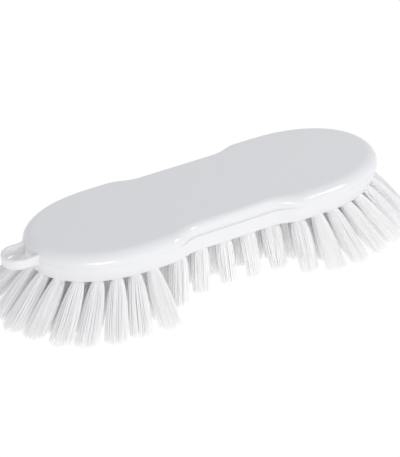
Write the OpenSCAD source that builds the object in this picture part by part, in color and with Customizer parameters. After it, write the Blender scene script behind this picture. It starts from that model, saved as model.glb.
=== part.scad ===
// Hand scrub brush with a waisted block, a hanging loop at one end and tufts that fan out at both ends.
// The origin is on the floor under the middle of the block. The brush stands on its bristle tips,
// +X runs away from the hanging loop and +Z is up, out of the block's flat back.

/* [Block] */
// Length of the block from tip to tip
block_l = 200; // [188:1:230]
// Width across each rounded lobe, at the parting line
lobe_w = 70.6; // [66:0.2:80]
// Width across the waist, at the parting line
waist_w = 61.6; // [58:0.2:65]
// Length of each rounded end, from where the lobe is widest to its tip
lobe_end_l = 50; // [44:1:56]
// Fullness of the rounded ends: 2 is an ellipse, more is squarer
lobe_fullness = 2.1; // [2:0.05:2.4]
// Length of each lobe's straight side, between its shoulder and its rounded end
lobe_flat_l = 12; // [8:0.5:14]
// Length of the shoulder that joins waist and lobe
shoulder_l = 16; // [12:0.5:18]
// Height of the skirt, from the underside to the parting line
skirt_h = 9; // [8.5:0.1:12]
// Height of the crown, from the parting line to the flat back
crown_h = 6; // [5.9:0.1:9]
// Draft of the skirt round the lobes: how far the underside is set in from the parting line
skirt_draft = 2.3; // [1.5:0.1:3]
// Draft of the skirt along the waist
waist_draft = 1.4; // [1:0.1:3]
// Small round on the edge of the underside
foot_r = 0.4; // [0.2:0.1:0.6]

/* [Crown] */
// How far the flat back is set in from the parting line round the lobes
crown_set_in = 6.1; // [4:0.1:8]
// Height of the crown's round on the lobes
crown_round_h = 5.4; // [3.5:0.1:5.5]
// The same set-in along the waist, where the edge is tighter
waist_set_in = 3.6; // [2:0.1:6]
// Height of the crown's round along the waist
waist_round_h = 3.2; // [2:0.1:5]
// Step in the side at the parting line
parting_step = 0.15; // [0.1:0.05:0.3]
// Height over which that step is taken
parting_step_h = 0.3; // [0.2:0.05:0.35]
// Depth of the finger grip: how far the crown is set back over its ledge along the waist
grip_recess = 1.0; // [0.4:0.1:2]

/* [Hanging loop] */
// How far the loop stands out past the block's tip
loop_reach = 14.2; // [11:0.1:18]
// Width of the loop over its outside
loop_w = 16.8; // [15:0.2:20]
// Thickness of the loop's band
loop_wall = 2.2; // [1.8:0.1:2.6]
// Height of the loop's band
loop_h = 5.2; // [4:0.1:5.6]
// Depth of the loop's middle under the flat back
loop_drop = 5.7; // [5:0.1:7]
// Round on the edges of the band
loop_edge_r = 0.8; // [0.4:0.1:0.85]

/* [Tuft holes] */
// Bore of each tuft hole
hole_d = 4.8; // [4.4:0.1:5]
// Depth of each tuft hole, along its own axis
hole_depth = 10; // [8.5:0.1:10.5]
// Distance of the edge row from the parting line, seen from above
edge_inset = 6.4; // [6.2:0.1:7]
// Distance between the edge row and the row inside it
row_gap = 12.2; // [11.4:0.1:13]
// How far short of the rounded end the rings of tufts in each lobe begin
lobe_row_back = 2; // [0:0.5:3.5]
// Gap along the brush from the loop's lobe to the first tufts of the waist
waist_gap_loop = 16.45; // [14:0.05:17]
// Gap along the brush from the last tufts of the waist to the front lobe
waist_gap_front = 11.05; // [11:0.05:14]

/* [Tufts] */
// Free length of the bristles under the block, measured straight down
trim = 25; // [20:0.5:32]
// Clearance between a tuft's root and the wall of its hole
root_clear = 0.1; // [0.05:0.05:0.2]
// Room left between a tuft's root and the bottom of its hole
root_end_gap = 0.3; // [0.1:0.1:0.6]
// Width of an upright tuft at its tip
waist_tip_d = 8; // [7.8:0.1:9]
// Width of a leaning tuft at its tip
lobe_tip_d = 10; // [8.5:0.1:10.5]
// How far the tips of the edge row lean out along the waist
waist_flare = 3.6; // [1:0.1:5]
// How far the tips of the edge row lean out along a lobe's side
side_flare = 16.2; // [10:0.1:18]
// How far the tips lean out at the brush's ends
end_flare = 21; // [15:0.1:23]
// How far short of the rounded end its fan starts
fan_back = 6; // [3:0.5:10]
// How far past the straight waist the tufts' lean begins to pass into the lobe's
blend_past = 2; // [0:0.5:6]
// Lean along the brush, for each millimetre from the middle of the waist
waist_fan = 0.095; // [0.04:0.005:0.12]
// Width of a tuft where it has opened out under its hole
knee_d = 6.8; // [6.2:0.1:7.2]
// How far under the block that is
knee_drop = 4; // [3:0.5:6]

/* [Strands] */
// Distance from the middle of a strand to its corners, at the root
strand_root_r = 0.6; // [0.5:0.02:0.64]
// The same where the tuft has opened out
strand_knee_r = 1; // [0.8:0.05:1.1]
// The same at the tip
strand_tip_r = 1.3; // [1:0.02:1.32]
// Bristle left between a strand and the outside of the tuft's root
root_margin = 0.1; // [0.05:0.01:0.15]
// Depth to which the strands are fused into the tuft's root
strand_seat = 0.6; // [0.4:0.1:1.2]

/* [Anchors] */
// Thickness of the anchor wire
anchor_t = 0.5; // [0.3:0.05:0.8]
// Width of the anchor wire
anchor_w = 1.8; // [1.2:0.1:2.2]
// Distance from the bottom of the hole to the middle of the anchor
anchor_up = 2.2; // [2:0.1:3]
// Clearance round the anchor in the fold of the tuft, and at its ends
anchor_clear = 0.05; // [0.03:0.01:0.1]

/* [Hidden] */
$fn = 48;
hole_facets = 24;
block_t = skirt_h + crown_h;
underside_z = trim;
parting_z = underside_z + skirt_h;
back_z = underside_z + block_t;
lobe_x = block_l / 2 - lobe_end_l;
waist_half_l = lobe_x - lobe_flat_l - shoulder_l;
lobe_row_x = lobe_x - lobe_row_back;
fan_x = lobe_x - fan_back;
blend_x = waist_half_l + blend_past;

// Facets of the block's outline and of its round, for a quarter of the way round
side_steps = 16;
end_steps = 14;
round_steps = 7;

// Tufts in a waist row, and in a quarter of the edge ring and of the inner ring of a lobe
waist_count = 6;
edge_quarter = 7;
inner_quarter = 4;
core_count = 3;
// Strands in the ring round a tuft's middle strand, and their corners
ring_strands = 5;
strand_sides = 3;

edge_count = 2 * waist_count + 4 * edge_quarter;

function two_digits(i) = i < 10 ? str("0", i) : str(i);
edge_names = [for (i = [1:edge_count]) str("edge_tuft_", two_digits(i))];
group_names = [
    "waist_row_near",
    "waist_row_middle",
    "waist_row_far",
    "loop_lobe_ring",
    "loop_lobe_core",
    "front_lobe_ring",
    "front_lobe_core",
];

// Smooth step from 0 to 1
function ease(t) = let (u = min(max(t, 0), 1)) u * u * (3 - 2 * u);
function shoulder(x) = ease((abs(x) - waist_half_l) / shoulder_l);
function mix(a, b, t) = a + (b - a) * t;

// Half width of the block at the parting line, for x short of the rounded end
function side_y(x) = mix(waist_w / 2, lobe_w / 2, shoulder(x));

// A quarter of the parting line, from the middle of the waist to the tip
side_curve = [
    for (i = [0:side_steps])
        let (x = lobe_x * i / side_steps)
        [x, side_y(x)]
];
end_curve = [
    for (i = [1:end_steps])
        let (a = 90 * i / end_steps, p = 2 / lobe_fullness)
        [lobe_x + lobe_end_l * pow(sin(a), p), i < end_steps ? lobe_w / 2 * pow(cos(a), p) : 0]
];
quarter = concat(side_curve, end_curve);
last = len(quarter) - 1;
quarter_normal = [
    for (i = [0:last])
        i == 0 ? [0, 1] :
        i == last ? [1, 0] :
        let (t = quarter[i + 1] - quarter[i - 1])
        [-t.y, t.x] / norm(t)
];

// The quarter moved in by d, which may be one size or one for each point
function moved_in(d) = [for (i = [0:last]) quarter[i] - quarter_normal[i] * (is_list(d) ? d[i] : d)];

// A whole ring, from a quarter of it: tip, far side, loop end, near side
function mirror_xy(p, sx, sy) = [p.x * sx, p.y * sy, p.z];
function whole(q) = concat(
    [for (i = [last:-1:0]) q[i]],
    [for (i = [1:last]) mirror_xy(q[i], -1, 1)],
    [for (i = [last - 1:-1:0]) mirror_xy(q[i], -1, -1)],
    [for (i = [1:last - 1]) mirror_xy(q[i], 1, -1)]
);

// Sizes that change from waist to lobe, one for each point of the quarter
function along(waist_size, lobe_size) = [for (p = quarter) mix(waist_size, lobe_size, shoulder(p.x))];

draft = along(waist_draft, skirt_draft);
step_in = along(parting_step + grip_recess, parting_step);
set_in = along(parting_step + grip_recess + waist_set_in, crown_set_in);
round_h = along(waist_round_h, crown_round_h);

// One level of the block, as a whole ring: the quarter moved in, with a height for each point
function level(d, z) =
    let (q = moved_in(d))
    whole([for (i = [0:last]) [q[i].x, q[i].y, is_list(z) ? z[i] : z]]);

skirt_levels = [
    level(draft + [for (p = quarter) foot_r], underside_z),
    level(draft * (1 - foot_r / skirt_h), underside_z + foot_r),
    level(0, parting_z),
    level(step_in, parting_z + parting_step_h),
];
crown_levels = [
    for (k = [0:round_steps])
        let (a = 90 * k / round_steps)
        level(
            [for (i = [0:last]) mix(set_in[i], step_in[i], cos(a))],
            [for (h = round_h) back_z - h * (1 - sin(a))]
        )
];
levels = concat(skirt_levels, crown_levels);

// Tuft positions. The stations of a row are spaced along its own length.
function run_lengths(q) = [
    for (i = 0, s = 0; i < len(q); s = s + (i + 1 < len(q) ? norm(q[i + 1] - q[i]) : 0), i = i + 1) s
];
function station(q, s) =
    let (run = run_lengths(q))
    [
        lookup(s, [for (i = [0:last]) [run[i], q[i].x]]),
        lookup(s, [for (i = [0:last]) [run[i], q[i].y]])
    ];
function run_at_x(q, x) =
    let (run = run_lengths(q))
    lookup(x, [for (i = [0:last]) [q[i].x, run[i]]]);

edge_row = moved_in(edge_inset);
inner_row = moved_in(edge_inset + row_gap);

// Edge ring of a lobe: an even number of tufts that straddle the tip
edge_stations =
    let (from = run_at_x(edge_row, lobe_row_x), to = run_lengths(edge_row)[last])
    [for (k = [0:edge_quarter - 1]) station(edge_row, mix(from, to, k / (edge_quarter - 0.5)))];
// Inner ring of a lobe: an odd number of tufts, with one at the tip
inner_stations =
    let (from = run_at_x(inner_row, lobe_row_x), to = run_lengths(inner_row)[last])
    [for (k = [0:inner_quarter]) station(inner_row, mix(from, to, k / inner_quarter))];

// Tufts along the waist, from the loop's side to the front
waist_from = waist_gap_loop - lobe_row_x;
waist_to = lobe_row_x - waist_gap_front;
waist_x = [for (i = [0:waist_count - 1]) mix(waist_from, waist_to, i / (waist_count - 1))];
function row_y(q, x) = lookup(abs(x), [for (p = q) [p.x, p.y]]);

// Positions of the whole edge row, from the loop's end round the near side and back along the far side
function mirrored(p, sx, sy) = [for (q = p) [q.x * sx, q.y * sy]];
function backwards(p) = [for (i = [len(p) - 1:-1:0]) p[i]];
edge_points = concat(
    backwards(mirrored(edge_stations, -1, -1)),
    [for (x = waist_x) [x, -row_y(edge_row, x)]],
    mirrored(edge_stations, 1, -1),
    backwards(mirrored(edge_stations, 1, 1)),
    backwards([for (x = waist_x) [x, row_y(edge_row, x)]]),
    mirrored(edge_stations, -1, 1)
);
function waist_row(side) = [for (x = waist_x) [x, side * row_y(inner_row, x)]];
function lobe_ring(end) = concat(
    mirrored(inner_stations, end, -1),
    backwards(mirrored([for (k = [0:inner_quarter - 1]) inner_stations[k]], end, 1))
);
core_end_x = block_l / 2 - edge_inset - 2 * row_gap;
function lobe_core(end) = [for (k = [0:core_count - 1]) [end * mix(lobe_row_x, core_end_x, k / (core_count - 1)), 0]];
all_points = concat(
    edge_points,
    waist_row(-1),
    waist_row(0),
    waist_row(1),
    lobe_ring(-1),
    lobe_core(-1),
    lobe_ring(1),
    lobe_core(1)
);

// How far the tip of the tuft at p lies from its root, seen from above
waist_y = waist_w / 2 - edge_inset;
lobe_y = lobe_w / 2 - edge_inset;
end_x = block_l / 2 - edge_inset;
function lobe_share(x) = ease((abs(x) - blend_x) / (lobe_row_x - blend_x));
function lean(p) =
    let (w = lobe_share(p.x))
    let (fan = end_flare / (end_x - fan_x) * max(abs(p.x) - fan_x, 0))
    [
        sign(p.x) * mix(waist_fan * abs(p.x), fan, w),
        p.y * mix(waist_flare / waist_y, side_flare / lobe_y, w)
    ];
function tip_d(p) = mix(waist_tip_d, lobe_tip_d, lobe_share(p.x));

// Axis of a tuft, pointing up into its hole, as the angle from upright and the turn about Z
function tilt(p) = atan2(norm(lean(p)), trim);
function turn(p) = let (l = lean(p)) norm(l) > 0 ? atan2(-l.y, -l.x) : 0;

// Frame of a hole: z up its axis, x across the lean and y along it
module at_hole(p) {
    translate([p.x, p.y, underside_z])
        rotate([0, tilt(p), turn(p)])
            rotate([0, 0, 90])
                children();
}

// Faces between rings of n points each, stacked upwards, seen anticlockwise from above
function ring_faces(n, rings) = [
    for (k = [0:rings - 2])
        for (i = [0:n - 1])
            let (j = (i + 1) % n, a = k * n + i, b = k * n + j)
            each [[a, b + n, b], [a, a + n, b + n]]
];

// The block as moulded, without its holes. Each flat is a fan round the point in its middle.
module block_solid() {
    n = len(levels[0]);
    top = len(levels) - 1;
    low_middle = n * (top + 1);
    high_middle = low_middle + 1;
    ring_points = [for (l = levels) for (p = l) p];
    low = [for (i = [0:n - 1]) [low_middle, i, (i + 1) % n]];
    high = [for (i = [0:n - 1]) [high_middle, top * n + (i + 1) % n, top * n + i]];
    polyhedron(
        points = concat(ring_points, [[0, 0, underside_z], [0, 0, back_z]]),
        faces = concat(ring_faces(n, top + 1), low, high)
    );
}

// Blind hole, with enough length outside the underside to cut its whole mouth
module tuft_hole(p) {
    below = hole_d;
    at_hole(p)
        translate([0, 0, -below])
            cylinder(d = hole_d, h = hole_depth + below, $fn = hole_facets);
}

module block() {
    color("whitesmoke")
        difference() {
            block_solid();
            for (p = all_points)
                tuft_hole(p);
        }
}

// Section of the loop's band, with rounded edges, centred on the origin
module band_section() {
    square([loop_wall - 2 * loop_edge_r, loop_h], center = true);
    square([loop_wall, loop_h - 2 * loop_edge_r], center = true);
    for (sx = [-1, 1], sy = [-1, 1])
        translate([sx * (loop_wall / 2 - loop_edge_r), sy * (loop_h / 2 - loop_edge_r)])
            circle(r = loop_edge_r);
}

// The loop: a half round with two straight legs that run back to the block
module loop_solid() {
    mid_r = (loop_w - loop_wall) / 2;
    round_x = -block_l / 2 - loop_reach + loop_w / 2;
    leg_end_x = -block_l / 2 + loop_w / 2;
    translate([round_x, 0, back_z - loop_drop]) {
        rotate([0, 0, 90])
            rotate_extrude(angle = 180)
                translate([mid_r, 0])
                    band_section();
        for (side = [-1, 1])
            translate([0, side * mid_r, 0])
                rotate([90, 0, 90])
                    linear_extrude(height = leg_end_x - round_x)
                        band_section();
    }
}

module hanging_loop() {
    color("whitesmoke")
        difference() {
            loop_solid();
            block_solid();
        }
}

// Flat wire across the fold of each tuft
module anchors() {
    color("silver")
        for (p = all_points)
            at_hole(p)
                translate([0, 0, hole_depth - anchor_up])
                    cube([hole_d - 2 * anchor_clear, anchor_t, anchor_w], center = true);
}

// Middles of a tuft's strands in its root, with the one in the middle first
root_d = hole_d - 2 * root_clear;
ring_r = root_d / 2 - strand_root_r - root_margin;
strand_middles = concat(
    [[0, 0]],
    [for (i = [0:ring_strands - 1]) ring_r * [cos(360 * i / ring_strands), sin(360 * i / ring_strands)]]
);
strand_corners = [for (k = [0:strand_sides - 1]) [cos(360 * k / strand_sides), sin(360 * k / strand_sides)]];

// One end or knee of a strand, round a point of its tuft's axis: u runs with the lean and v across it,
// d is the tuft's width there and r the strand's
function strand_ring(at, u, v, middle, d, r) =
    let (spread = (d / 2 - r) / ring_r)
    [for (q = strand_corners) let (w = middle * spread + q * r) at + u * w.x + v * w.y];

// One strand of the tuft at p, from its flat end on the floor, over its knee, into the tuft's root
module strand(p, middle) {
    l = lean(p);
    way = norm(l) > 0 ? l / norm(l) : [1, 0];
    c = cos(tilt(p));
    s = sin(tilt(p));
    v = [-way.y, way.x, 0];
    u_flat = [way.x, way.y, 0] / c;
    u_square = [way.x * c, way.y * c, s];
    hole = [p.x, p.y, underside_z];
    down = [l.x, l.y, -trim] / trim;
    seat = hole - down * c * strand_seat;
    tip_ring = strand_ring(hole + down * trim, u_flat, v, middle, tip_d(p), strand_tip_r);
    knee_ring = strand_ring(hole + down * knee_drop, u_square, v, middle, knee_d, strand_knee_r);
    root_d_here = 2 * (ring_r + strand_root_r);
    root_ring = strand_ring(seat, u_square, v, middle, root_d_here, strand_root_r);
    n = strand_sides;
    low = [for (i = [1:n - 2]) [0, i, i + 1]];
    high = [for (i = [1:n - 2]) [2 * n, 2 * n + i + 1, 2 * n + i]];
    polyhedron(points = concat(tip_ring, knee_ring, root_ring), faces = concat(ring_faces(n, 3), low, high));
}

// Root of a tuft: the bundle packed in its hole, with a window where the anchor holds its fold
module root(p) {
    root_l = hole_depth - root_end_gap;
    at_hole(p)
        difference() {
            cylinder(d = root_d, h = root_l, $fn = hole_facets);
            translate([0, 0, hole_depth - anchor_up])
                cube([hole_d, anchor_t + 2 * anchor_clear, anchor_w + 2 * anchor_clear], center = true);
        }
}

module tuft(p) {
    color("white")
        union() {
            root(p);
            for (m = strand_middles)
                strand(p, m);
        }
}

module tufts(points) {
    for (p = points)
        tuft(p);
}

block();
hanging_loop();
anchors();
for (i = [0:edge_count - 1])
    tuft(edge_points[i]);
tufts(waist_row(-1));  // waist_row_near
tufts(waist_row(0));  // waist_row_middle
tufts(waist_row(1));  // waist_row_far
tufts(lobe_ring(-1));  // loop_lobe_ring
tufts(lobe_core(-1));  // loop_lobe_core
tufts(lobe_ring(1));  // front_lobe_ring
tufts(lobe_core(1));  // front_lobe_core
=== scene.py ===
"""Looks of a hand scrub brush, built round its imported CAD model.

The block is one glossy white moulding with a waist, a hanging loop stands out of one end of it, and
tufts of fine white filaments fan out under it. Sizes are in millimetres, unless their comment says
otherwise, and are turned to metres in the meshes. The origin is on the floor under the middle of
the block, +X runs away from the loop and +Z is up.
"""

import logging
import math
from dataclasses import dataclass, field
from enum import Enum

import bmesh
import bpy
import numpy as np
from mathutils import Matrix, Vector


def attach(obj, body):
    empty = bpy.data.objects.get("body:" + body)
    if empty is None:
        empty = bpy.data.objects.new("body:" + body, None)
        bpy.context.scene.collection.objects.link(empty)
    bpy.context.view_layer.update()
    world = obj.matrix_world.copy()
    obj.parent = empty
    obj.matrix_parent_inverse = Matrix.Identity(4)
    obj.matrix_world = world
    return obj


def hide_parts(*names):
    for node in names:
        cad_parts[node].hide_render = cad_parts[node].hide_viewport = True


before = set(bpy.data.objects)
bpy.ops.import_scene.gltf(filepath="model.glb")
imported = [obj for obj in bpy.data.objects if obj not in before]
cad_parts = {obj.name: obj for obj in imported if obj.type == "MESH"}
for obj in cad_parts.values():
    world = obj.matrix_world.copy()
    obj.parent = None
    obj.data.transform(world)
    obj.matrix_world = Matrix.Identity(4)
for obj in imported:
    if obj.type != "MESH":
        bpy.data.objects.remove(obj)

MM = 0.001
BODY = "root"
# Height of the lower end of a sleeve, which stands from there to the same height over the origin
SLEEVE_LOW = -0.5
# Most of a noise factor lies between these two
NOISE_LOW, NOISE_HIGH = 0.3, 0.7
# Turn from one filament of a disc to the next
GOLDEN_ANGLE = math.pi * (3 - math.sqrt(5))
WHITE = (1.0, 1.0, 1.0, 1.0)

Colour = tuple[float, float, float]
Profile = tuple[tuple[float, float], ...]

log = logging.getLogger("scrub_brush")


class Slot(Enum):
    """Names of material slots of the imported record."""

    MOULDING = "moulding"
    BRISTLE = "bristle"


class Side(Enum):
    """The two long sides of the brush, as signs of Y."""

    NEAR = -1
    FAR = 1


class End(Enum):
    """The two ends of the brush, as signs of X."""

    LOOP = -1
    FRONT = 1


def ease(t: np.ndarray) -> np.ndarray:
    """Smooth step from 0 to 1."""
    u = np.clip(t, 0.0, 1.0)
    return u * u * (3.0 - 2.0 * u)


def mix(a: np.ndarray, b: np.ndarray, t: np.ndarray) -> np.ndarray:
    """The value that lies the share t of the way from a to b."""
    return a + (b - a) * t


def quarter_turn(steps: int) -> np.ndarray:
    """Angles of a quarter turn in radians, cut into even steps, with both ends."""
    return np.linspace(0.0, math.pi / 2, steps + 1)


def direction(azimuth: float, elevation: float) -> Vector:
    """Direction out from the brush, which points to -Y at an azimuth of 0 and to +X at 90.

    Args:
        azimuth: Turn about Z in degrees.
        elevation: Height over the floor in degrees.

    Returns:
        The direction, of length 1.
    """
    turn, lift = math.radians(azimuth), math.radians(elevation)
    across = math.cos(lift)
    return Vector((math.sin(turn) * across, -math.cos(turn) * across, math.sin(lift)))


def deselect_all() -> None:
    """Leaves nothing selected, in object mode."""
    if bpy.context.object is not None and bpy.context.object.mode != "OBJECT":
        bpy.ops.object.mode_set(mode="OBJECT")
    bpy.ops.object.select_all(action="DESELECT")


def make_active(obj: bpy.types.Object) -> None:
    """Selects one object alone and makes it active.

    Args:
        obj: The object.
    """
    deselect_all()
    obj.select_set(True)
    bpy.context.view_layer.objects.active = obj


def grid_sleeve(name: str, columns: int, rows: int) -> bpy.types.Object:
    """Adds an upright closed sleeve of quads: a cylinder whose side edges are cut into rows.

    Args:
        name: Name of the object and of its mesh.
        columns: Number of points in a ring.
        rows: Number of rings, the two ends among them.

    Returns:
        The sleeve, of radius 1 and height 1 round the origin.
    """
    deselect_all()
    bpy.ops.mesh.primitive_cylinder_add(
        vertices=columns, radius=1.0, depth=1.0, end_fill_type="NGON"
    )
    sleeve = bpy.context.object
    sleeve.name = sleeve.data.name = name
    bpy.ops.object.mode_set(mode="EDIT")
    bpy.ops.mesh.select_mode(type="EDGE")
    bpy.ops.mesh.select_all(action="DESELECT")
    shape = bmesh.from_edit_mesh(sleeve.data)
    for edge in shape.edges:
        low, high = edge.verts
        edge.select_set(low.co.z * high.co.z < 0)
    bmesh.update_edit_mesh(sleeve.data)
    bpy.ops.mesh.subdivide(number_cuts=rows - 2)
    bpy.ops.object.mode_set(mode="OBJECT")
    return sleeve


def grid_places(
    sleeve: bpy.types.Object, columns: int, rows: int
) -> tuple[np.ndarray, np.ndarray]:
    """Finds the column and the row of each point of a sleeve.

    Args:
        sleeve: A sleeve as grid_sleeve makes it.
        columns: Its number of columns.
        rows: Its number of rows.

    Returns:
        Two arrays of whole numbers, one entry for each vertex.
    """
    points = np.empty(len(sleeve.data.vertices) * 3)
    sleeve.data.vertices.foreach_get("co", points)
    points = points.reshape(-1, 3)
    turn = np.arctan2(points[:, 0], points[:, 1]) / (2 * math.pi)
    column = np.rint(turn * columns).astype(int) % columns
    row = np.rint((points[:, 2] - SLEEVE_LOW) * (rows - 1)).astype(int)
    return column, row


def shape_sleeve(name: str, rings: np.ndarray) -> bpy.types.Object:
    """Makes a closed mesh through a stack of rings, by shaping a sleeve.

    Args:
        name: Name of the object.
        rings: Points in millimetres, one ring after the other, as an array of rows by columns by 3.

    Returns:
        The shaped object, with its faces pointing outwards.
    """
    rows, columns, _ = rings.shape
    sleeve = grid_sleeve(name, columns, rows)
    column, row = grid_places(sleeve, columns, rows)
    sleeve.data.vertices.foreach_set("co", (rings[row, column] * MM).ravel())
    sleeve.data.update()
    face_outwards(sleeve)
    return sleeve


def face_outwards(obj: bpy.types.Object) -> None:
    """Turns every face of a closed mesh outwards.

    Args:
        obj: The object that has the mesh.
    """
    make_active(obj)
    bpy.ops.object.mode_set(mode="EDIT")
    bpy.ops.mesh.select_all(action="SELECT")
    bpy.ops.mesh.normals_make_consistent(inside=False)
    bpy.ops.object.mode_set(mode="OBJECT")


def smooth(obj: bpy.types.Object, degrees: float) -> None:
    """Shades an object smooth, apart from edges sharper than the angle in degrees."""
    make_active(obj)
    bpy.ops.object.shade_smooth_by_angle(angle=math.radians(degrees))


def place_piece(
    obj: bpy.types.Object, material: bpy.types.Material, nodes: list[str]
) -> None:
    """Dresses a finished piece and ties it to the CAD.

    Args:
        obj: The piece.
        material: Its material.
        nodes: CAD nodes that it stands for.
    """
    obj.data.materials.clear()
    obj.data.materials.append(material)
    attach(obj, BODY)
    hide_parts(*nodes)
    log.info("%s stands for %s, %d faces", obj.name, ", ".join(nodes), len(obj.data.polygons))


class NodeTree:
    """A node tree, with short calls to add nodes to it and join them."""

    def __init__(self, tree: bpy.types.NodeTree) -> None:
        """Takes up the tree of a material or of a world."""
        self.nodes, self.links = tree.nodes, tree.links

    def add(self, kind: str, **values: object) -> bpy.types.Node:
        """Adds a node.

        Args:
            kind: Type name of the node.
            **values: Settings of the node or of its input sockets. _ stands for a space in a
                socket's name.

        Returns:
            The node.
        """
        node = self.nodes.new(kind)
        for key, value in values.items():
            socket = node.inputs.get(key.replace("_", " "))
            if hasattr(node, key):
                setattr(node, key, value)
            elif socket is not None:
                socket.default_value = value
            else:
                raise KeyError(f"{kind} has no setting or socket {key}")
        return node

    def join(self, start: bpy.types.NodeSocket, end: bpy.types.NodeSocket) -> None:
        """Links an output socket to an input socket."""
        self.links.new(start, end)

    def larger(
        self, first: bpy.types.NodeSocket, second: bpy.types.NodeSocket
    ) -> bpy.types.NodeSocket:
        """Picks the larger of two values.

        Args:
            first: One value.
            second: The other value.

        Returns:
            The result's socket.
        """
        node = self.add("ShaderNodeMath", operation="MAXIMUM")
        self.join(first, node.inputs[0])
        self.join(second, node.inputs[1])
        return node.outputs[0]

    def blend(
        self,
        factor: bpy.types.NodeSocket,
        first: bpy.types.NodeSocket,
        second: bpy.types.NodeSocket,
    ) -> bpy.types.NodeSocket:
        """Mixes two shaders.

        Args:
            factor: Share of the second shader.
            first: The first shader.
            second: The second shader.

        Returns:
            The mixed shader's socket.
        """
        node = self.add("ShaderNodeMixShader")
        self.join(factor, node.inputs["Fac"])
        self.join(first, node.inputs[1])
        self.join(second, node.inputs[2])
        return node.outputs[0]


class SurfaceTree(NodeTree):
    """The node tree of a material, round one Principled shader."""

    def __init__(self, name: str) -> None:
        """Starts a material with a Principled shader alone.

        Args:
            name: Name of the material.
        """
        self.material = bpy.data.materials.new(name)
        self.material.use_nodes = True
        super().__init__(self.material.node_tree)
        self.shader = self.nodes["Principled BSDF"]

    def place(self) -> bpy.types.NodeSocket:
        """Object coordinates, in metres."""
        return self.add("ShaderNodeTexCoord").outputs["Object"]

    def noise(
        self, place: bpy.types.NodeSocket, scale: float, detail: float
    ) -> bpy.types.NodeSocket:
        """Noise over a place, as a factor.

        Args:
            place: Coordinates that it reads.
            scale: Waves to the metre.
            detail: Octaves of finer noise.

        Returns:
            The factor's socket.
        """
        node = self.add("ShaderNodeTexNoise", Scale=scale, Detail=detail)
        self.join(place, node.inputs["Vector"])
        return node.outputs["Fac"]

    def spread(
        self, factor: bpy.types.NodeSocket, low: float, high: float
    ) -> bpy.types.NodeSocket:
        """Maps the middle of a noise factor's range to a new range.

        Args:
            factor: The factor.
            low: Result at the factor's low end.
            high: Result at its high end.

        Returns:
            The result's socket.
        """
        node = self.add("ShaderNodeMapRange", From_Min=NOISE_LOW, From_Max=NOISE_HIGH)
        node.inputs["To Min"].default_value, node.inputs["To Max"].default_value = low, high
        self.join(factor, node.inputs["Value"])
        return node.outputs["Result"]

    def tint(
        self, factor: bpy.types.NodeSocket, low: Colour, high: Colour
    ) -> bpy.types.NodeSocket:
        """Mixes two colours by a factor.

        Args:
            factor: The factor.
            low: Colour at 0, as red, green and blue.
            high: Colour at 1.

        Returns:
            The colour's socket.
        """
        node = self.add("ShaderNodeMix", data_type="RGBA")
        ends = [socket for socket in node.inputs if socket.type == "RGBA"]
        for end, colour in zip(ends, (low, high)):
            end.default_value = (*colour, 1.0)
        self.join(factor, node.inputs["Factor"])
        return next(socket for socket in node.outputs if socket.type == "RGBA")

    def bump(self, height: bpy.types.NodeSocket, strength: float, depth: float) -> None:
        """Bumps the surface.

        Args:
            height: Factor that gives the height.
            strength: Share of the bump that shows.
            depth: Depth of the bump in metres.
        """
        node = self.add("ShaderNodeBump", Strength=strength, Distance=depth)
        self.join(height, node.inputs["Height"])
        self.join(node.outputs["Normal"], self.shader.inputs["Normal"])


@dataclass(frozen=True)
class GlossyMoulding:
    """White plastic out of a polished mould."""

    colour: Colour = (0.815, 0.815, 0.83)
    shade: Colour = (0.795, 0.795, 0.81)
    roughness: float = 0.11
    roughness_worn: float = 0.18
    refraction: float = 1.49
    mottle_scale: float = 90.0
    mottle_detail: float = 4.0
    gloss_scale: float = 180.0
    gloss_detail: float = 6.0
    ripple_scale: float = 260.0
    ripple_detail: float = 3.0
    ripple_strength: float = 0.35
    # In metres
    ripple_depth: float = 0.00002

    def material(self) -> bpy.types.Material:
        """Builds the material.

        Returns:
            The material, with a faint mottle, uneven gloss and the ripple of a moulded skin.
        """
        tree = SurfaceTree("glossy_moulding")
        place = tree.place()
        mottle = tree.noise(place, self.mottle_scale, self.mottle_detail)
        tree.join(tree.tint(mottle, self.shade, self.colour), tree.shader.inputs["Base Color"])
        gloss = tree.noise(place, self.gloss_scale, self.gloss_detail)
        roughness = tree.spread(gloss, self.roughness, self.roughness_worn)
        tree.join(roughness, tree.shader.inputs["Roughness"])
        ripple = tree.noise(place, self.ripple_scale, self.ripple_detail)
        tree.bump(ripple, self.ripple_strength, self.ripple_depth)
        tree.shader.inputs["IOR"].default_value = self.refraction
        return tree.material


@dataclass(frozen=True)
class DrawnFilament:
    """White drawn bristle filament, a little paler in some strands than in others."""

    colour: Colour = (0.985, 0.983, 0.985)
    shade: Colour = (0.955, 0.95, 0.953)
    roughness: float = 0.3
    roughness_worn: float = 0.4
    refraction: float = 1.53
    strand_scale: float = 700.0
    strand_detail: float = 2.0
    stretch: tuple[float, float, float] = (1.0, 1.0, 0.08)

    def material(self) -> bpy.types.Material:
        """Builds the material.

        Returns:
            The material, with a colour that varies from strand to strand.
        """
        tree = SurfaceTree("drawn_filament")
        stretch = tree.add("ShaderNodeMapping", Scale=self.stretch)
        tree.join(tree.place(), stretch.inputs["Vector"])
        strands = tree.noise(stretch.outputs["Vector"], self.strand_scale, self.strand_detail)
        tree.join(tree.tint(strands, self.shade, self.colour), tree.shader.inputs["Base Color"])
        roughness = tree.spread(strands, self.roughness, self.roughness_worn)
        tree.join(roughness, tree.shader.inputs["Roughness"])
        tree.shader.inputs["IOR"].default_value = self.refraction
        return tree.material


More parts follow.
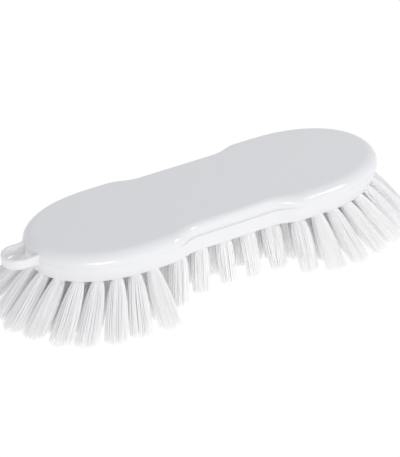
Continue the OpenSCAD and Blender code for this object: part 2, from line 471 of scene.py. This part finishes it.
@dataclass(frozen=True)
class DrawnWire:
    """Bright drawn steel wire."""

    colour: Colour = (0.62, 0.62, 0.64)
    shade: Colour = (0.5, 0.5, 0.52)
    roughness: float = 0.28
    roughness_worn: float = 0.48
    draw_scale: float = 900.0
    draw_detail: float = 5.0

    def material(self) -> bpy.types.Material:
        """Builds the material.

        Returns:
            The material, with the fine marks of drawing.
        """
        tree = SurfaceTree("drawn_wire")
        marks = tree.noise(tree.place(), self.draw_scale, self.draw_detail)
        tree.join(tree.tint(marks, self.shade, self.colour), tree.shader.inputs["Base Color"])
        roughness = tree.spread(marks, self.roughness, self.roughness_worn)
        tree.join(roughness, tree.shader.inputs["Roughness"])
        tree.shader.inputs["Metallic"].default_value = 1.0
        return tree.material


@dataclass
class BlockOutline:
    """The block's parting line seen from above: two round lobes joined by a straight waist."""

    length: float = 200.0
    lobe_width: float = 70.6
    waist_width: float = 61.6
    lobe_end_length: float = 50.0
    lobe_fullness: float = 2.1
    waist_half_length: float = 22.0
    shoulder_length: float = 16.0
    side_steps: int = 34
    end_steps: int = 38
    quarter: np.ndarray = field(init=False)
    normals: np.ndarray = field(init=False)

    def __post_init__(self) -> None:
        """Works out a quarter of the line, from the middle of the waist to the tip."""
        lobe_x = self.length / 2 - self.lobe_end_length
        side_x = np.linspace(0.0, lobe_x, self.side_steps + 1)
        side = np.stack([side_x, self.side_y(side_x)], axis=1)
        angle = quarter_turn(self.end_steps)[1:]
        power = 2.0 / self.lobe_fullness
        end_x = lobe_x + self.lobe_end_length * np.sin(angle) ** power
        end_y = self.lobe_width / 2 * np.clip(np.cos(angle), 0.0, 1.0) ** power
        end_y[-1] = 0.0
        self.quarter = np.concatenate([side, np.stack([end_x, end_y], axis=1)])
        tangent = np.gradient(self.quarter, axis=0)
        tangent[0] = (1.0, 0.0)
        tangent[-1] = (0.0, -1.0)
        tangent /= np.linalg.norm(tangent, axis=1, keepdims=True)
        self.normals = np.stack([-tangent[:, 1], tangent[:, 0]], axis=1)

    def lobe_share(self, x: np.ndarray) -> np.ndarray:
        """How far each x is across the shoulder, from 0 in the waist to 1 in the lobe."""
        return ease((np.abs(x) - self.waist_half_length) / self.shoulder_length)

    def side_y(self, x: np.ndarray) -> np.ndarray:
        """Half width at each x short of the rounded end."""
        return mix(self.waist_width / 2, self.lobe_width / 2, self.lobe_share(x))

    def moved_in(self, inset: np.ndarray) -> np.ndarray:
        """The quarter moved in by an inset, which is one size or one for each point."""
        return self.quarter - self.normals * np.asarray(inset, float).reshape(-1, 1)

    @staticmethod
    def whole(quarter: np.ndarray) -> np.ndarray:
        """Mirrors a quarter into a whole ring.

        Args:
            quarter: Points from the middle of the far side to the front tip.

        Returns:
            The ring, anticlockwise from above, from the front tip.
        """
        to_far = quarter[::-1]
        far_to_loop = quarter[1:] * (-1, 1, 1)
        loop_to_near = quarter[::-1][1:] * (-1, -1, 1)
        near_to_front = quarter[1:-1] * (1, -1, 1)
        return np.concatenate([to_far, far_to_loop, loop_to_near, near_to_front])


@dataclass
class Block:
    """The moulded block: a drafted skirt under the parting line and a rounded crown over it."""

    outline: BlockOutline
    plan: "TuftPlan"
    skirt_height: float = 9.0
    crown_height: float = 6.0
    lobe_draft: float = 2.3
    waist_draft: float = 1.4
    foot_radius: float = 0.4
    foot_steps: int = 3
    # Round on the skirt's upper edge, along the waist and on the lobes
    ledge_radius: float = 0.25
    parting_radius: float = 0.05
    ledge_steps: int = 3
    lobe_set_in: float = 6.1
    waist_set_in: float = 3.6
    lobe_round_height: float = 5.4
    waist_round_height: float = 3.2
    parting_step: float = 0.15
    parting_step_height: float = 0.7
    lobe_step_height: float = 0.55
    # Shares of the step's inset and of its height, from the ledge up
    step_profile: Profile = ((0.45, 0.04), (0.75, 0.18), (0.93, 0.48))
    grip_recess: float = 1.0
    round_steps: int = 14
    # Width of the last strip of faces before each flat
    flat_margin: float = 0.8
    hole_sides: int = 24
    crease_degrees: float = 35.0

    def along(self, waist_size: float, lobe_size: float) -> np.ndarray:
        """A size for each point of the quarter, which changes from the waist to the lobe."""
        return mix(waist_size, lobe_size, self.outline.lobe_share(self.outline.quarter[:, 0]))

    def level(self, inset: np.ndarray, height: np.ndarray) -> np.ndarray:
        """One ring of the block.

        Args:
            inset: How far in from the parting line, one size or one for each point of the quarter.
            height: Height over the underside, likewise.

        Returns:
            The ring's points.
        """
        plan = self.outline.moved_in(inset)
        heights = np.broadcast_to(np.asarray(height, float), len(plan)) + self.plan.trim
        return BlockOutline.whole(np.column_stack([plan, heights]))

    def levels(self) -> np.ndarray:
        """Works out the form of the block.

        Returns:
            All its rings, from the underside's flat to the back's flat.
        """
        draft = self.along(self.waist_draft, self.lobe_draft)
        step_in = self.along(self.parting_step + self.grip_recess, self.parting_step)
        waist_set_in = self.parting_step + self.grip_recess + self.waist_set_in
        set_in = self.along(waist_set_in, self.lobe_set_in)
        round_height = self.along(self.waist_round_height, self.lobe_round_height)
        thickness = self.skirt_height + self.crown_height
        rings = [self.level(draft + self.foot_radius + self.flat_margin, 0.0)]
        for angle in quarter_turn(self.foot_steps):
            lift = self.foot_radius * (1 - math.cos(angle))
            share = lift / self.skirt_height
            inset = draft * (1 - share) + self.foot_radius * (1 - math.sin(angle))
            rings.append(self.level(inset, lift))
        edge = self.along(self.ledge_radius, self.parting_radius)
        step_height = self.along(self.parting_step_height, self.lobe_step_height)
        for angle in quarter_turn(self.ledge_steps):
            height = self.skirt_height - edge * (1 - math.sin(angle))
            rings.append(self.level(edge * (1 - math.cos(angle)), height))
        for inset_share, height_share in self.step_profile:
            height = self.skirt_height + step_height * height_share
            rings.append(self.level(mix(edge, step_in, inset_share), height))
        rings.append(self.level(step_in, self.skirt_height + step_height))
        for angle in quarter_turn(self.round_steps):
            inset = mix(set_in, step_in, math.cos(angle))
            rings.append(self.level(inset, thickness - round_height * (1 - math.sin(angle))))
        rings.append(self.level(set_in + self.flat_margin, thickness))
        return np.stack(rings)

    def drill(self, block: bpy.types.Object) -> None:
        """Drills the blind hole of every tuft.

        Args:
            block: The block without its holes.
        """
        deselect_all()
        drills = []
        for tuft in self.plan.all_tufts():
            centre = tuft.hole + tuft.axis * (self.plan.hole_depth - self.plan.hole_diameter) / 2
            bpy.ops.mesh.primitive_cylinder_add(
                vertices=self.hole_sides,
                radius=self.plan.hole_diameter / 2 * MM,
                depth=(self.plan.hole_depth + self.plan.hole_diameter) * MM,
                location=centre * MM,
                rotation=Vector(tuft.axis).to_track_quat("Z", "Y").to_euler(),
            )
            drills.append(bpy.context.object)
        deselect_all()
        for drill in drills:
            drill.select_set(True)
        bpy.context.view_layer.objects.active = drills[0]
        bpy.ops.object.join()
        cutter = bpy.context.object
        make_active(block)
        bpy.ops.object.modifier_add(type="BOOLEAN")
        cut = block.modifiers[-1]
        cut.operation, cut.solver, cut.object = "DIFFERENCE", "EXACT", cutter
        bpy.ops.object.modifier_apply(modifier=cut.name)
        bpy.data.objects.remove(cutter)

    def build(self) -> bpy.types.Object:
        """Builds the block.

        Returns:
            The drilled block.
        """
        block = shape_sleeve("scrub_block", self.levels())
        self.drill(block)
        smooth(block, self.crease_degrees)
        return block


@dataclass
class HangingLoop:
    """The loop at one end of the block: a rounded flat band bent through a half turn."""

    block_tip_x: float = -100.0
    reach: float = 14.2
    width: float = 16.8
    band_thickness: float = 2.2
    band_height: float = 5.2
    middle_z: float = 34.3
    edge_radius: float = 0.8
    edge_steps: int = 4
    bend_steps: int = 40
    # How far inside the block's tip the legs end, and where they come out of its face
    root_depth: float = 2.5
    face_depth: float = 0.8
    bend_margin: float = 0.4
    # Share by which the legs thicken at the block
    root_flare: float = 0.12
    flare_length: float = 3.0
    # Shares of the flare's length and of its size, from the block's face out
    flare_profile: Profile = ((0.0, 1.0), (0.33, 0.45), (0.66, 0.12), (1.0, 0.0))
    crease_degrees: float = 50.0

    def band_section(self, scale: float) -> np.ndarray:
        """Points round the band's section.

        Args:
            scale: Factor on its thickness and height.

        Returns:
            The points, as offsets across the band and up it.
        """
        points = []
        half = np.array([self.band_thickness, self.band_height]) / 2 * scale - self.edge_radius
        for corner, signs in enumerate([(1, 1), (-1, 1), (-1, -1), (1, -1)]):
            for angle in quarter_turn(self.edge_steps) + corner * math.pi / 2:
                out = np.array([math.cos(angle), math.sin(angle)])
                points.append(half * signs + self.edge_radius * out)
        return np.array(points)

    def build(self) -> bpy.types.Object:
        """Builds the loop.

        Returns:
            The loop, with both roots inside the block.
        """
        middle_radius = (self.width - self.band_thickness) / 2
        bend_x = self.block_tip_x - self.reach + self.width / 2
        face_x = self.block_tip_x + self.face_depth
        leg_x = [self.block_tip_x + self.root_depth]
        flare = [1 + self.root_flare]
        for share, part in self.flare_profile:
            leg_x.append(face_x - self.flare_length * share)
            flare.append(1 + self.root_flare * part)
        leg_x.append(bend_x + self.bend_margin)
        flare.append(1.0)
        rings = []
        for x, scale in zip(leg_x, flare):
            rings.append(self.ring(np.array([x, middle_radius]), np.array([0.0, 1.0]), scale))
        for angle in np.linspace(math.pi / 2, 3 * math.pi / 2, self.bend_steps + 1):
            out = np.array([math.cos(angle), math.sin(angle)])
            rings.append(self.ring(np.array([bend_x, 0.0]) + middle_radius * out, out, 1.0))
        for x, scale in zip(leg_x[::-1], flare[::-1]):
            rings.append(self.ring(np.array([x, -middle_radius]), np.array([0.0, -1.0]), scale))
        loop = shape_sleeve("hanging_eye_loop", np.stack(rings))
        smooth(loop, self.crease_degrees)
        return loop

    def ring(self, middle: np.ndarray, out: np.ndarray, scale: float) -> np.ndarray:
        """The band's section at a point of its path.

        Args:
            middle: Middle of the section, seen from above.
            out: Direction out of the loop, seen from above.
            scale: Factor on the section.

        Returns:
            The ring's points.
        """
        section = self.band_section(scale)
        plan = middle + section[:, :1] * out
        return np.column_stack([plan, self.middle_z + section[:, 1]])


@dataclass
class Tuft:
    """One tuft: a bundle of filaments that leaves its hole on a lean and opens out to its tip.

    The brush stands on its tips, so the trim is also the height of the hole's mouth.
    """

    root: np.ndarray
    lean: np.ndarray
    tip_diameter: float
    trim: float

    @property
    def hole(self) -> np.ndarray:
        """Middle of the hole's mouth."""
        return np.array([*self.root, self.trim])

    @property
    def axis(self) -> np.ndarray:
        """Direction of the tuft, up into its hole."""
        way = np.array([*-self.lean, self.trim])
        return way / np.linalg.norm(way)

    @property
    def lean_direction(self) -> np.ndarray:
        """Direction of the lean, seen from above."""
        run = np.linalg.norm(self.lean)
        return self.lean / run if run > 0 else np.array([1.0, 0.0])


@dataclass
class TuftPlan:
    """Where the tufts stand in the block and how they lean."""

    outline: BlockOutline
    hole_diameter: float = 4.8
    hole_depth: float = 10.0
    edge_inset: float = 6.4
    row_gap: float = 12.2
    waist_pitch: float = 13.7
    waist_shift: float = 2.7
    waist_count: int = 6
    lobe_row_x: float = 48.0
    edge_quarter: int = 7
    inner_quarter: int = 4
    core_count: int = 3
    trim: float = 25.0
    waist_tip: float = 8.0
    lobe_tip: float = 10.0
    waist_flare: float = 3.6
    side_flare: float = 16.2
    end_flare: float = 21.0
    fan_x: float = 44.0
    blend_x: float = 24.0
    waist_fan: float = 0.095

    def tuft(self, x: float, y: float) -> Tuft:
        """Works out the lean and the tip of the tuft that stands at a place.

        Args:
            x: The place along the brush.
            y: The place across it.

        Returns:
            The tuft.
        """
        outline = self.outline
        share = float(ease((abs(x) - self.blend_x) / (self.lobe_row_x - self.blend_x)))
        fan_slope = self.end_flare / (outline.length / 2 - self.edge_inset - self.fan_x)
        fan = fan_slope * max(abs(x) - self.fan_x, 0.0)
        lean_x = math.copysign(float(mix(self.waist_fan * abs(x), fan, share)), x)
        waist_slope = self.waist_flare / (outline.waist_width / 2 - self.edge_inset)
        lobe_slope = self.side_flare / (outline.lobe_width / 2 - self.edge_inset)
        lean_y = y * float(mix(waist_slope, lobe_slope, share))
        tip = float(mix(self.waist_tip, self.lobe_tip, share))
        return Tuft(np.array([x, y]), np.array([lean_x, lean_y]), tip, self.trim)

    def row(self, inset: float) -> tuple[np.ndarray, np.ndarray]:
        """Works out a quarter of a row of tufts.

        Args:
            inset: Inset of the row from the parting line.

        Returns:
            Its points, and the length along it to each of them.
        """
        points = self.outline.moved_in(inset)
        steps = np.linalg.norm(np.diff(points, axis=0), axis=1)
        return points, np.concatenate([[0.0], np.cumsum(steps)])

    def lobe_stations(self, inset: float, shares: np.ndarray) -> np.ndarray:
        """Places along a quarter of a lobe's ring.

        Args:
            inset: Inset of the ring from the parting line.
            shares: Share of the way from the ring's first tuft to the tip, for each tuft.

        Returns:
            The places in the quarter where x and y are positive.
        """
        points, run = self.row(inset)
        start = np.interp(self.lobe_row_x, points[:, 0], run)
        stations = mix(start, run[-1], shares)
        return np.stack([np.interp(stations, run, points[:, k]) for k in (0, 1)], axis=1)

    def waist_x(self) -> np.ndarray:
        """Places of the waist's tufts along the brush."""
        steps = np.arange(self.waist_count) - (self.waist_count - 1) / 2
        return self.waist_shift + self.waist_pitch * steps

    def row_y(self, inset: float, x: np.ndarray) -> np.ndarray:
        """Distance of a row from the middle line at each x."""
        points, _ = self.row(inset)
        return np.interp(np.abs(x), points[:, 0], points[:, 1])

    def edge_tufts(self) -> list[Tuft]:
        """Stands up the edge row.

        Returns:
            Its tufts, from the loop's end along the near side and back along the far side.
        """
        shares = np.arange(self.edge_quarter) / (self.edge_quarter - 0.5)
        lobe = self.lobe_stations(self.edge_inset, shares)
        waist = self.waist_x()
        side = self.row_y(self.edge_inset, waist)
        near_waist = np.stack([waist, -side], axis=1)
        far_waist = np.stack([waist, side], axis=1)
        near = [(lobe * (-1, -1))[::-1], near_waist, lobe * (1, -1)]
        far = [lobe[::-1], far_waist[::-1], lobe * (-1, 1)]
        return [self.tuft(*place) for place in np.concatenate(near + far)]

    def waist_row(self, side: int) -> list[Tuft]:
        """Stands up a row of the waist inside the edge row.

        Args:
            side: The sign of its side, or 0 for the middle row.

        Returns:
            Its tufts.
        """
        waist = self.waist_x()
        y = side * self.row_y(self.edge_inset + self.row_gap, waist)
        return [self.tuft(*place) for place in np.stack([waist, y], axis=1)]

    def lobe_ring(self, end: End) -> list[Tuft]:
        """Stands up the ring of tufts inside the edge row of a lobe.

        Args:
            end: The end that the lobe is at.

        Returns:
            Its tufts.
        """
        shares = np.arange(self.inner_quarter + 1) / self.inner_quarter
        near = self.lobe_stations(self.edge_inset + self.row_gap, shares)
        places = np.concatenate([near * (end.value, -1), (near[:-1] * (end.value, 1))[::-1]])
        return [self.tuft(*place) for place in places]

    def lobe_core(self, end: End) -> list[Tuft]:
        """Stands up the row of tufts along the middle of a lobe.

        Args:
            end: The end that the lobe is at.

        Returns:
            Its tufts.
        """
        last_x = self.outline.length / 2 - self.edge_inset - 2 * self.row_gap
        places = np.linspace(self.lobe_row_x, last_x, self.core_count)
        return [self.tuft(end.value * x, 0.0) for x in places]

    def groups(self) -> dict[str, list[Tuft]]:
        """Sorts the tufts by their CAD nodes.

        Returns:
            The tufts of each node, under its name.
        """
        edge = enumerate(self.edge_tufts(), start=1)
        named = {f"edge_tuft_{number:02d}": [tuft] for number, tuft in edge}
        named["waist_row_near"] = self.waist_row(Side.NEAR.value)
        named["waist_row_middle"] = self.waist_row(0)
        named["waist_row_far"] = self.waist_row(Side.FAR.value)
        named["loop_lobe_ring"] = self.lobe_ring(End.LOOP)
        named["loop_lobe_core"] = self.lobe_core(End.LOOP)
        named["front_lobe_ring"] = self.lobe_ring(End.FRONT)
        named["front_lobe_core"] = self.lobe_core(End.FRONT)
        return named

    def all_tufts(self) -> list[Tuft]:
        """Every tuft of the brush."""
        return [tuft for group in self.groups().values() for tuft in group]


@dataclass(frozen=True)
class Spread:
    """How far a tuft's filaments open out at its tip, in shares of the tip's size in the CAD.

    The depth lies along the tuft's lean and is a share of the width across it.
    """

    waist: float
    lobe: float
    depth: float

    def across(self, share: float) -> float:
        """Width of the tip, with its share of the way from the waist to the lobe."""
        return mix(self.waist, self.lobe, share)


@dataclass
class Bristles:
    """The filaments of the tufts.

    One filament is modelled, and each other is a copy swept along its own path.
    """

    plan: TuftPlan
    filaments: int = 130
    filament_diameter: float = 0.45
    sides: int = 4
    # Shares of the way from the hole's mouth to the tip at which a filament has a ring
    falls: tuple[float, ...] = (0.0, 0.1, 0.24, 0.42, 0.62, 0.82, 1.0)
    root_gap: float = 0.7
    root_clearance: float = 0.05
    # Edge tufts open out wide and flat. Inner tufts stay round and fill the rows behind them.
    edge_spread: Spread = Spread(waist=1.16, lobe=1.28, depth=0.6)
    inner_spread: Spread = Spread(waist=1.5, lobe=1.6, depth=1.0)
    rim_pull: float = 0.44
    # How soon a tuft opens out under its hole: the more, the sooner
    waist_opening: float = 13.0
    lobe_opening: float = 2.6
    tip_scatter: float = 0.14
    bow: float = 0.1
    stray_share: float = 0.05
    stray_scatter: float = 0.7
    trim_scatter: float = 0.16
    clump_count: int = 9
    clump_scatter: float = 0.55
    clump_pull: float = 0.16
    least_pull: float = 0.3
    tuft_scatter: float = 0.2
    bend_power: float = 1.4
    # Share by which the inner rings of the lobes lean out further than their solids
    ring_lean: float = 0.45
    crease_degrees: float = 80.0
    seed: int = 20260
    # How far use has bent the tips of these tufts, along X and Y
    bent: dict[str, tuple[float, float]] = field(
        default_factory=lambda: {
            "edge_tuft_01": (-0.5, 0.8),
            "edge_tuft_02": (-0.6, 2.6),
            "edge_tuft_03": (-1.6, -0.2),
            "edge_tuft_04": (-2.8, -0.9),
            "edge_tuft_05": (-2.0, -2.3),
            "edge_tuft_06": (-1.9, -1.1),
            "edge_tuft_07": (1.6, -1.7),
            "edge_tuft_08": (-1.8, 0.8),
            "edge_tuft_10": (1.1, -0.1),
            "edge_tuft_11": (0.8, -0.9),
            "edge_tuft_12": (0.5, -0.7),
            "edge_tuft_13": (-1.3, -1.5),
            "edge_tuft_14": (0.1, -1.3),
            "edge_tuft_15": (1.2, -1.6),
            "edge_tuft_16": (2.6, -0.6),
            "edge_tuft_17": (2.6, -0.2),
            "edge_tuft_18": (1.2, 0.6),
            "edge_tuft_37": (-4.0, 7.0),
            "edge_tuft_38": (-6.0, 7.0),
            "edge_tuft_39": (-5.0, 5.0),
        }
    )
    # How much wider than others use has spread these tufts
    frayed: dict[str, float] = field(default_factory=lambda: {"edge_tuft_12": 1.3})
    pattern_faces: list[list[int]] = field(init=False)
    pattern_column: np.ndarray = field(init=False)
    pattern_row: np.ndarray = field(init=False)

    def __post_init__(self) -> None:
        """Models the one filament that the others are copies of."""
        rows = len(self.falls) + 1
        master = grid_sleeve("filament_master", self.sides, rows)
        self.pattern_column, self.pattern_row = grid_places(master, self.sides, rows)
        self.pattern_faces = [list(face.vertices) for face in master.data.polygons]
        bpy.data.objects.remove(master)

    def root_disc(self) -> np.ndarray:
        """Spreads the filaments over a disc.

        Returns:
            Their places in a disc of radius 1, evenly turned and drawn to its rim.
        """
        index = np.arange(self.filaments)
        radius = ((index + 0.5) / self.filaments) ** self.rim_pull
        angle = index * GOLDEN_ANGLE
        return np.stack([radius * np.cos(angle), radius * np.sin(angle)], axis=1)

    def paths(
        self,
        tuft: Tuft,
        bend: np.ndarray,
        spread: Spread,
        fray: float,
        dice: np.random.Generator,
    ) -> np.ndarray:
        """Paths of a tuft's filaments, from the bottom of its hole to its tip.

        Args:
            tuft: The tuft.
            bend: How far use has bent its tip, seen from above.
            spread: How far it opens out.
            fray: How much wider than others use has spread it.
            dice: Source of the small differences between filaments.

        Returns:
            An array of filaments by rows by 3.
        """
        plan = self.plan
        share = (tuft.tip_diameter - plan.waist_tip) / (plan.lobe_tip - plan.waist_tip)
        opening = mix(self.waist_opening, self.lobe_opening, share)
        filament_radius = self.filament_diameter / 2
        root_radius = plan.hole_diameter / 2 - filament_radius - self.root_clearance
        tip_radius = tuft.tip_diameter / 2 * spread.across(share) * fray - filament_radius
        flatness = np.array([spread.depth, 1.0])
        disc = self.root_disc()
        bend = bend + dice.normal(0, self.tuft_scatter, 2)
        along = np.array([*tuft.lean_direction, 0.0])
        across = np.array([-along[1], along[0], 0.0])
        upright = tuft.axis[2]
        square = np.array([*(tuft.lean_direction * upright), np.linalg.norm(tuft.axis[:2])])
        clumps = dice.normal(0, self.clump_scatter, (self.clump_count, 2))
        nearest = np.argmin(np.linalg.norm(disc[:, None] - clumps[None], axis=2), axis=1)
        pull = self.clump_pull * dice.uniform(self.least_pull, 1.0, (self.filaments, 1))
        tip_disc = mix(disc, clumps[nearest], pull)
        strays = dice.random((self.filaments, 1)) < self.stray_share
        loose = np.where(strays, self.stray_scatter, self.tip_scatter)
        stray = dice.normal(0, 1.0, (self.filaments, 2)) * loose * fray**3
        bow = dice.normal(0, self.bow, (self.filaments, 2))
        rise = np.abs(dice.normal(0, self.trim_scatter, self.filaments))
        bottom = tuft.hole + tuft.axis * (plan.hole_depth - self.root_gap)
        rings = [bottom + root_radius * (disc[:, :1] * square + disc[:, 1:] * across)]
        for t in self.falls:
            fall = t * (1 - rise / tuft.trim)
            centre = tuft.hole + np.array([*tuft.lean, -tuft.trim]) * fall[:, None]
            centre += np.array([*bend, 0.0]) * t**self.bend_power
            grown = (1 - math.exp(-opening * t)) / (1 - math.exp(-opening))
            radius = mix(root_radius, tip_radius, grown)
            place = mix(disc, tip_disc * flatness, t) * radius
            place = place + stray * t * t + bow * math.sin(math.pi * t)
            tilt = mix(square, along / upright, t)
            rings.append(centre + place[:, :1] * tilt + place[:, 1:] * across)
        return np.stack(rings, axis=1)

    def sweep(self, path: np.ndarray) -> np.ndarray:
        """Sweeps the filament's section along paths.

        Args:
            path: Paths as filaments by rows by 3.

        Returns:
            The points of each copy, in the order of the one filament's points.
        """
        way = np.gradient(path, axis=1)
        way /= np.linalg.norm(way, axis=2, keepdims=True)
        reference = np.array([0.0, 1.0, 0.0])
        first = np.cross(way, reference)
        first /= np.linalg.norm(first, axis=2, keepdims=True)
        second = np.cross(way, first)
        angle = 2 * math.pi * self.pattern_column / self.sides
        radius = self.filament_diameter / 2
        row = self.pattern_row
        across = first[:, row] * np.cos(angle)[None, :, None]
        up = second[:, row] * np.sin(angle)[None, :, None]
        swept = path[:, row] + radius * (across + up)
        swept[:, :, 2] = np.maximum(swept[:, :, 2], 0.0)
        return swept

    def build(self, node: str, tufts: list[Tuft], order: int) -> bpy.types.Object:
        """Builds the bristles of one CAD node.

        Args:
            node: Name of the CAD node.
            tufts: Its tufts.
            order: Place of the node in the brush, which seeds its small differences.

        Returns:
            The bristles as one object.
        """
        dice = np.random.default_rng(self.seed + order)
        fray = self.frayed.get(node, 1.0)
        more_lean = self.ring_lean if node.endswith("lobe_ring") else 0.0
        bent = np.array(self.bent.get(node, (0.0, 0.0)))
        spread = self.edge_spread if node.startswith("edge_tuft") else self.inner_spread
        copies = []
        for tuft in tufts:
            bend = bent + tuft.lean * more_lean
            copies.append(self.sweep(self.paths(tuft, bend, spread, fray, dice)))
        copies = np.concatenate(copies)
        count, size, _ = copies.shape
        faces = [
            [copy * size + corner for corner in face]
            for copy in range(count)
            for face in self.pattern_faces
        ]
        mesh = bpy.data.meshes.new(f"{node}_bristles")
        mesh.from_pydata((copies.reshape(-1, 3) * MM).tolist(), [], faces)
        mesh.update()
        bristles = bpy.data.objects.new(f"{node}_bristles", mesh)
        bpy.context.collection.objects.link(bristles)
        face_outwards(bristles)
        smooth(bristles, self.crease_degrees)
        return bristles


@dataclass(frozen=True)
class Lamp:
    """A square soft lamp that looks at the brush, with angles in degrees and sizes in metres."""

    name: str
    azimuth: float
    elevation: float
    distance: float
    size: float
    watts: float

    def build(self) -> None:
        """Hangs the lamp up."""
        away = direction(self.azimuth, self.elevation)
        data = bpy.data.lights.new(self.name, "AREA")
        data.size, data.energy = self.size, self.watts
        lamp = bpy.data.objects.new(self.name, data)
        bpy.context.collection.objects.link(lamp)
        lamp.location = away * self.distance
        lamp.rotation_mode = "QUATERNION"
        lamp.rotation_quaternion = away.to_track_quat("Z", "Y")


@dataclass
class Studio:
    """Floor, soft light and camera."""

    frame_height: int = 457
    focal_px: float = 2179.0
    sensor: float = 36.0
    # Nearest and furthest distance that the camera sees, in metres
    clip_start: float = 0.01
    clip_end: float = 20.0
    aim: tuple[float, float, float] = (-9.853, -11.464, 25.0)
    azimuth: float = -30.520
    elevation: float = 30.658
    distance: float = 1094.09
    roll: float = -1.331
    world_colour: tuple[float, ...] = (0.97, 0.98, 1.0, 1.0)
    world_strength: float = 0.68
    light_bounces: int = 24
    floor_size: float = 3000.0
    floor_drop: float = 0.2
    floor_colour: tuple[float, ...] = (0.94, 0.94, 0.94, 1.0)
    floor_roughness: float = 0.9
    glow_strength: float = 1.05
    # Share of the floor that glows: for the rays that light the brush, and for those that see it
    floor_glow: float = 0.72
    floor_white: float = 0.9
    lamps: tuple[Lamp, ...] = (
        Lamp("front_softbox", -22.0, 5.0, 1.2, 0.55, 4.8),
        Lamp("side_softbox", 46.0, 34.0, 1.1, 0.32, 2.0),
    )

    def camera(self) -> None:
        """Places the camera where the photograph was taken from."""
        azimuth = math.radians(self.azimuth)
        back = direction(self.azimuth, self.elevation)
        right = Vector((math.cos(azimuth), math.sin(azimuth), 0.0))
        right = Matrix.Rotation(math.radians(self.roll), 3, back) @ right
        up = back.cross(right)
        data = bpy.data.cameras.new("photo_camera")
        data.sensor_width = self.sensor
        data.lens = self.focal_px * self.sensor / self.frame_height
        data.clip_start, data.clip_end = self.clip_start, self.clip_end
        camera = bpy.data.objects.new("photo_camera", data)
        bpy.context.collection.objects.link(camera)
        turn = Matrix((right, up, back)).transposed().to_4x4()
        where = Vector(self.aim) * MM + back * self.distance * MM
        camera.matrix_world = Matrix.Translation(where) @ turn
        bpy.context.scene.camera = camera

    def world(self) -> None:
        """A soft pale surround, white where the camera or a reflection sees it."""
        world = bpy.data.worlds.new("studio_world")
        world.use_nodes = True
        bpy.context.scene.world = world
        tree = NodeTree(world.node_tree)
        tree.nodes.clear()
        rays = tree.add("ShaderNodeLightPath").outputs
        seen = tree.larger(rays["Is Camera Ray"], rays["Is Glossy Ray"])
        shown = tree.larger(seen, rays["Is Transmission Ray"])
        soft = tree.add("ShaderNodeBackground", Color=self.world_colour)
        soft.inputs["Strength"].default_value = self.world_strength
        white = tree.add("ShaderNodeBackground", Color=WHITE, Strength=1.0)
        surround = tree.blend(shown, soft.outputs[0], white.outputs[0])
        tree.join(surround, tree.add("ShaderNodeOutputWorld").inputs["Surface"])

    def floor(self) -> None:
        """A plain pale floor, lit from below as a photo table is, that keeps a faint shadow."""
        deselect_all()
        under = (0.0, 0.0, -self.floor_drop * MM)
        bpy.ops.mesh.primitive_plane_add(size=self.floor_size * MM, location=under)
        floor = bpy.context.object
        floor.name = "studio_floor"
        tree = SurfaceTree("floor_white")
        tree.shader.inputs["Base Color"].default_value = self.floor_colour
        tree.shader.inputs["Roughness"].default_value = self.floor_roughness
        glow = tree.add("ShaderNodeEmission", Color=WHITE, Strength=self.glow_strength)
        rays = tree.add("ShaderNodeLightPath").outputs
        share = tree.add("ShaderNodeMath", operation="MULTIPLY_ADD")
        share.inputs[1].default_value = self.floor_white - self.floor_glow
        share.inputs[2].default_value = self.floor_glow
        tree.join(tree.larger(rays["Is Camera Ray"], rays["Is Glossy Ray"]), share.inputs[0])
        lit = tree.blend(share.outputs[0], tree.shader.outputs[0], glow.outputs[0])
        tree.join(lit, tree.nodes["Material Output"].inputs["Surface"])
        floor.data.materials.append(tree.material)

    def build(self) -> None:
        """Sets up the whole studio."""
        scene = bpy.context.scene
        scene.view_settings.view_transform = "Standard"
        scene.cycles.max_bounces = scene.cycles.diffuse_bounces = self.light_bounces
        self.world()
        self.floor()
        self.camera()
        for lamp in self.lamps:
            lamp.build()


@dataclass
class ScrubBrush:
    """The whole brush."""

    outline: BlockOutline = field(default_factory=BlockOutline)

    def build(self) -> None:
        """Builds and dresses every piece in order."""
        plan = TuftPlan(self.outline)
        moulding = GlossyMoulding().material()
        place_piece(Block(self.outline, plan).build(), moulding, ["block"])
        place_piece(HangingLoop().build(), moulding, ["hanging_loop"])
        filament = DrawnFilament().material()
        bristles = Bristles(plan)
        for order, (node, tufts) in enumerate(plan.groups().items()):
            place_piece(bristles.build(node, tufts, order), filament, [node])
        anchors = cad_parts["anchors"]
        anchors.data.materials.clear()
        anchors.data.materials.append(DrawnWire().material())
        log.info("anchors keep their CAD solids")


def main() -> None:
    """Builds the scene."""
    logging.basicConfig(level=logging.INFO, format="%(name)s: %(message)s")
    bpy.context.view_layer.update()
    ScrubBrush().build()
    Studio().build()


if __name__ == "__main__":
    main()
